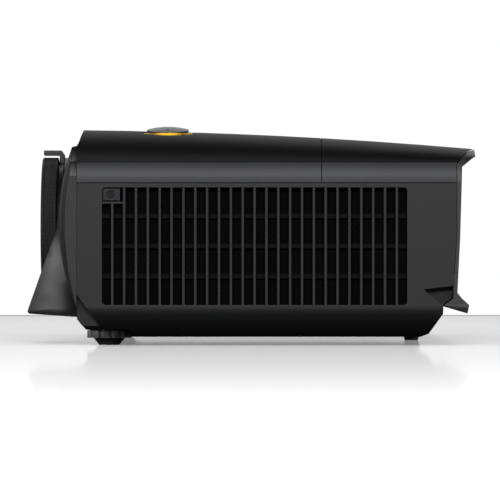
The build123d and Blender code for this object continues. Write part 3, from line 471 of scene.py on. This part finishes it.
# %% Ring outline
outer_line = [(front_x + 0.7 * MM, ring_outer), (grip_x0 - 0.15 * MM, ring_outer)]
for row in range(GRIP_ROWS + 1):
    outer_line.append((grip_x0 + (grip_x1 - grip_x0) * row / GRIP_ROWS, ring_outer))
outer_line += [(grip_x1 + 0.15 * MM, ring_outer), (back_x - 0.5 * MM, ring_outer)]
inner_line = [
    (back_x, ring_outer - 0.5 * MM),
    (back_x, ring_bore),
    (front_x + 1.0 * MM, ring_bore),
    (front_x + 1.0 * MM, lip_bore),
    (front_x + 0.4 * MM, lip_bore + 0.2 * MM),
    (front_x, lip_bore + 0.9 * MM),
    (front_x, ring_outer - 0.9 * MM),
    (front_x + 0.25 * MM, ring_outer - 0.3 * MM),
]
print("outline of", len(outer_line) + len(inner_line), "points")


# %% Build the ring
def knurl(x, turn):
    """Two families of helical grooves that cross in diamonds, below the outer radius."""
    if x < grip_x0 - 0.01 * MM or x > grip_x1 + 0.01 * MM:
        return 0.0
    along = (x - grip_x0) / (2 * math.pi * ring_outer / diamonds)
    around = turn * diamonds / (2 * math.pi)
    first = abs(math.sin(math.pi * (around + along)))
    second = abs(math.sin(math.pi * (around - along)))
    return -groove_depth * (1.0 - min(first, second) ** 0.7)


def turned(name, skin_line, plain_line, steps, skin):
    """Spins a closed outline of (x, radius) points about the lens axis.

    skin says how far a point of skin_line moves outward, and plain_line keeps its radius.
    """
    centre = (ring_low + ring_high) / 2
    maker = bmesh.new()
    rings = []
    for step in range(steps):
        turn = 2 * math.pi * step / steps
        reach = [(x, radius + skin(x, turn)) for x, radius in skin_line] + plain_line
        ring = []
        for x, away in reach:
            y = centre.y + away * math.cos(turn)
            z = centre.z + away * math.sin(turn)
            ring.append(maker.verts.new((x, y, z)))
        rings.append(ring)
    for here, there in zip(rings, rings[1:] + rings[:1]):
        for i in range(len(here)):
            j = (i + 1) % len(here)
            maker.faces.new((here[i], here[j], there[j], there[i]))
    bmesh.ops.recalc_face_normals(maker, faces=maker.faces)
    return mesh_object(name, maker)


focus_grip = turned("focus_grip_knurled", outer_line, inner_line, diamonds * STEPS_PER_DIAMOND,
                    knurl)
focus_grip.data.materials.append(grip_rubber)
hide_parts("focus_ring")
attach(focus_grip, "focus_grip")
print("focus grip:", len(focus_grip.data.vertices), "points,", diamonds, "knurls")

# %% [markdown]
# ## Dust filters
# Behind each grille sits a black mesh filter that keeps dust from the optics and hides the inside.
# It could be a flat black sheet, but a woven sheet breaks up the little light that gets in. The
# weave is a shallow real ripple with a finer thread pattern in its bump.

# %% Filter cloth finish
def filter_cloth(name, hex_colour, thread_mm):
    material, tree, output, place = new_material(name)
    slanted = add(tree, "ShaderNodeMapping", Vector=place, Rotation=(0, math.radians(45), 0))
    bands = per_metre(thread_mm * 2 * math.pi)       # one wave is about two threads wide
    warp = add(tree, "ShaderNodeTexWave", {"bands_direction": "X"}, Vector=slanted.outputs[0],
               Scale=bands)
    weft = add(tree, "ShaderNodeTexWave", {"bands_direction": "Z"}, Vector=slanted.outputs[0],
               Scale=bands)
    weave = add(tree, "ShaderNodeMath", {"operation": "MAXIMUM"}, in0=warp.outputs[1],
                in1=weft.outputs[1])
    base = linear(hex_colour)
    tint = add(tree, "ShaderNodeMix", {"data_type": "RGBA"}, in0=weave.outputs[0],
               in6=shade(base, 0.4), in7=base)
    bump = add(tree, "ShaderNodeBump", Height=weave.outputs[0], Strength=0.8, Distance=0.2 * MM)
    shader = add(tree, "ShaderNodeBsdfPrincipled", Base_Color=tint.outputs[2], Roughness=0.9,
                 Normal=bump.outputs[0], Specular_IOR_Level=0.1)
    tree.links.new(shader.outputs[0], output.inputs[0])
    return material


filter_black = filter_cloth("black_polyester_filter_mesh", "#0a0a0b", 1.2)

# %% Hang the filters
FILTER_NEAR, FILTER_FAR = 0.25 * MM, 0.75 * MM     # the sheet's two faces, behind the grille
FILTER_MARGIN = 1.0 * MM
COLUMNS, ROWS = 120, 50


def filter_grid(maker, low, high, plane, side):
    """Rows of points on a softly rippled sheet, at the depth called plane."""
    grid = []
    for row in range(ROWS + 1):
        line = []
        for column in range(COLUMNS + 1):
            x = low.x + (high.x - low.x) * column / COLUMNS
            z = low.z + (high.z - low.z) * row / ROWS
            ripple = 0.08 * MM * math.sin(column * 1.7) * math.cos(row * 1.3)
            line.append(maker.verts.new((x, plane - side * ripple, z)))
        grid.append(line)
    for under, over in zip(grid, grid[1:]):
        for i in range(COLUMNS):
            maker.faces.new((under[i], under[i + 1], over[i + 1], over[i]))
    return grid


def rim(grid):
    """The points along a grid's four edges, in one loop."""
    right = [line[-1] for line in grid[1:]]
    left = [line[0] for line in grid[-2:0:-1]]
    return grid[0] + right + grid[-1][-2::-1] + left


def filter_sheet(side_name, side):
    """A shallow rippled sheet, 0.5 mm thick, in the slit between grille and fan."""
    low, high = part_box(f"side_grille_{side_name}")
    behind_grille = low.y if side > 0 else high.y
    margin = Vector((FILTER_MARGIN, 0, FILTER_MARGIN))
    low, high = low + margin, high - margin
    maker = bmesh.new()
    near, far = (rim(filter_grid(maker, low, high, behind_grille - side * depth, side))
                 for depth in (FILTER_NEAR, FILTER_FAR))
    for i in range(len(near)):
        j = (i + 1) % len(near)
        maker.faces.new((near[i], near[j], far[j], far[i]))
    bmesh.ops.recalc_face_normals(maker, faces=maker.faces)
    piece = mesh_object(f"dust_filter_{side_name}", maker)
    piece.data.materials.append(filter_black)
    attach(piece, "housing")
    return piece


for side_name, side in (("left", -1), ("right", 1)):
    sheet = filter_sheet(side_name, side)
    print(sheet.name, len(sheet.data.vertices), "points")

# %% [markdown]
# ## Floor, light and camera
# A product like this is shot on a white acrylic table, with soft boxes that draw its edges. The
# table mirrors only weakly, so the object stands on a faint reflection that fades towards the
# front. The surroundings are bright in front near the horizon and dark overhead and below, which
# keeps the shoulder and the tucked-in base black. The table has a top light of its own, linked to
# it alone, and white paper closes the view behind.

# %% Floor
WHITE = linear("#ffffff")
FLOOR_RADIUS = 30.0
MIRROR_SHARE = 0.30          # at the object's near side, and nothing at MIRROR_END
MIRROR_END = -2.0


def pale_floor():
    maker = bmesh.new()
    bmesh.ops.create_circle(maker, cap_ends=True, segments=96, radius=FLOOR_RADIUS)
    floor = mesh_object("floor", maker)
    material, tree, output, place = new_material("pale_gloss_floor")
    cloud = add(tree, "ShaderNodeTexNoise", Vector=place, Scale=2.0, Detail=2.0)
    rough = add(tree, "ShaderNodeMapRange", Value=cloud.outputs[0], To_Min=0.04, To_Max=0.07)
    split = add(tree, "ShaderNodeSeparateXYZ", Vector=place)
    sheen = add(tree, "ShaderNodeMapRange", Value=split.outputs["Y"], From_Min=MIRROR_END,
                From_Max=cad_low[1], To_Min=0.0, To_Max=MIRROR_SHARE)
    acrylic = add(tree, "ShaderNodeBsdfDiffuse", Color=linear("#fbfbfb"))
    glow = add(tree, "ShaderNodeEmission", Color=WHITE, Strength=0.08)
    lit = add(tree, "ShaderNodeAddShader", in0=acrylic.outputs[0], in1=glow.outputs[0])
    gloss = add(tree, "ShaderNodeBsdfGlossy", Color=WHITE, Roughness=rough.outputs[0])
    mixed = add(tree, "ShaderNodeMixShader", in0=sheen.outputs[0], in1=lit.outputs[0],
                in2=gloss.outputs[0])
    tree.links.new(mixed.outputs[0], output.inputs[0])
    floor.data.materials.append(material)
    floor.visible_diffuse = False        # the white table would light the object from below,
    floor.visible_glossy = False         # and would show in its glossy sides
    floor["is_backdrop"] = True
    return floor


floor = pale_floor()
print("floor", round(floor.dimensions.x, 1), "m across")


# %% Backdrop
PAPER_START = 1.2            # where the paper leaves the floor, behind the object's middle
PAPER_BEND = 0.6             # the radius of its sweep
PAPER_HALF_WIDTH = 6.0
BEND_STEPS = 12
RISE_STEPS, RISE_STEP = 12, 0.25


def paper_backdrop():
    """A tall paper sheet that sweeps up behind the object."""
    maker = bmesh.new()
    rows = []
    for step in range(BEND_STEPS + RISE_STEPS + 1):
        turn = math.pi / 2 * min(step / BEND_STEPS, 1.0)
        y = PAPER_START + PAPER_BEND * math.sin(turn)
        z = PAPER_BEND * (1 - math.cos(turn)) + max(step - BEND_STEPS, 0) * RISE_STEP + 0.5 * MM
        rows.append([maker.verts.new((x, y, z)) for x in (-PAPER_HALF_WIDTH, PAPER_HALF_WIDTH)])
    for under, over in zip(rows, rows[1:]):
        maker.faces.new((under[0], under[1], over[1], over[0]))
    sheet = mesh_object("backdrop", maker)
    material, tree, output, place = new_material("white_paper_backdrop")
    fibre = add(tree, "ShaderNodeTexNoise", Vector=place, Scale=per_metre(2.5), Detail=3.0)
    strength = add(tree, "ShaderNodeMapRange", Value=fibre.outputs[0], To_Min=1.0, To_Max=1.04)
    glow = add(tree, "ShaderNodeEmission", Color=WHITE, Strength=strength.outputs[0])
    tree.links.new(glow.outputs[0], output.inputs[0])
    sheet.data.materials.append(material)
    sheet.visible_diffuse = False
    sheet.visible_shadow = False
    sheet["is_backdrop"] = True
    return sheet


backdrop = paper_backdrop()
print("backdrop", round(backdrop.dimensions.z, 2), "m tall")


# %% Sky
SKY_STRENGTH = 0.47


def studio_sky():
    world = bpy.data.worlds.new("studio")
    bpy.context.scene.world = world
    world.use_nodes = True
    tree = world.node_tree
    tree.nodes.clear()
    direction = add(tree, "ShaderNodeTexCoord").outputs["Generated"]
    split = add(tree, "ShaderNodeSeparateXYZ", Vector=direction)
    smooth = {"interpolation_type": "SMOOTHSTEP"}
    # Z is 1 straight up and -1 straight down, and Y is 1 straight behind the object.
    over = add(tree, "ShaderNodeMapRange", smooth, Value=split.outputs["Z"], From_Min=0.10,
               From_Max=0.50, To_Min=1.0, To_Max=0.03)
    under = add(tree, "ShaderNodeMapRange", smooth, Value=split.outputs["Z"], From_Min=-0.16,
                From_Max=-0.01, To_Min=0.03, To_Max=1.0)
    behind = add(tree, "ShaderNodeMapRange", smooth, Value=split.outputs["Y"], From_Min=-0.3,
                 From_Max=0.4, To_Min=1.0, To_Max=0.25)
    level = over.outputs[0]
    for factor in (under.outputs[0], behind.outputs[0], SKY_STRENGTH):
        product = add(tree, "ShaderNodeMath", {"operation": "MULTIPLY"}, in0=level, in1=factor)
        level = product.outputs[0]
    light = add(tree, "ShaderNodeBackground", Color=WHITE, Strength=level)
    output = add(tree, "ShaderNodeOutputWorld")
    tree.links.new(light.outputs[0], output.inputs[0])


studio_sky()
print("sky at", SKY_STRENGTH, "of full strength")


# %% Soft boxes
def soft_box(name, place, aim, width, height, power):
    """A rectangular area light at place that faces aim."""
    lamp = bpy.data.lights.new(name, "AREA")
    lamp.shape = "RECTANGLE"
    lamp.size, lamp.size_y, lamp.energy = width, height, power
    box = bpy.data.objects.new(name, lamp)
    bpy.context.scene.collection.objects.link(box)
    box.location = place
    box.rotation_mode = "QUATERNION"
    box.rotation_quaternion = (Vector(aim) - Vector(place)).to_track_quat("-Z", "Y")
    return box


def light_only(box, receiver):
    """Links a light to one object, so that it lights nothing else."""
    lit = bpy.data.collections.new(f"{box.name}_receivers")
    lit.objects.link(receiver)
    box.light_linking.receiver_collection = lit


# Each box: its place and aim, its width and height in metres, and its power in watts.
object_centre = Vector((0, 0, (cad_low[2] + cad_high[2]) / 2))
soft_box("front_box", (0, -2.6, 1.0), object_centre, 2.4, 0.35, power=43)
soft_box("left_box", (-2.0, -1.0, 0.45), object_centre, 0.5, 0.8, power=10)
soft_box("right_box", (2.2, -0.4, 0.5), object_centre, 0.4, 0.9, power=9)
table_box = soft_box("table_box", (0, 0, 2.4), (0, 0, 0), 4.0, 4.0, power=47)
table_box.data.use_shadow = False  # the table stays white right up to the feet
light_only(table_box, floor)
ring_centre = sum(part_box("dial_trim_ring"), Vector()) / 2
over_ring = ring_centre + Vector((0, -0.5, 0.75))
dial_box = soft_box("dial_box", over_ring, ring_centre, 2.0, 0.5, power=7)
light_only(dial_box, nodes["dial_trim_ring"])
print("lights placed round", [round(c, 3) for c in object_centre])

# %% Camera
camera_data = bpy.data.cameras.new("camera")
camera_data.sensor_width = 36.0
camera_distance = 3.0              # from the near flank, which is why so little of the top shows
field_at_flank = 292.5 * MM        # what the frame takes in at that flank
camera_data.lens = camera_data.sensor_width * camera_distance / field_at_flank
camera = bpy.data.objects.new("camera", camera_data)
bpy.context.scene.collection.objects.link(camera)
camera_side, camera_height = -0.3 * MM, 56.0 * MM
camera.location = (camera_side, cad_low[1] - camera_distance, camera_height)
camera.rotation_euler = (math.radians(90), 0, 0)
bpy.context.scene.camera = camera
bpy.context.scene.view_settings.view_transform = "Standard"
print("lens", round(camera_data.lens, 1), "mm")

# %% Measure and finish
low, high = (list(corner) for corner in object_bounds())
grown = [max(cl - l, h - ch) / MM for cl, l, h, ch in zip(cad_low, low, high, cad_high)]
print("grown by", [round(size, 3) for size in grown], "mm")
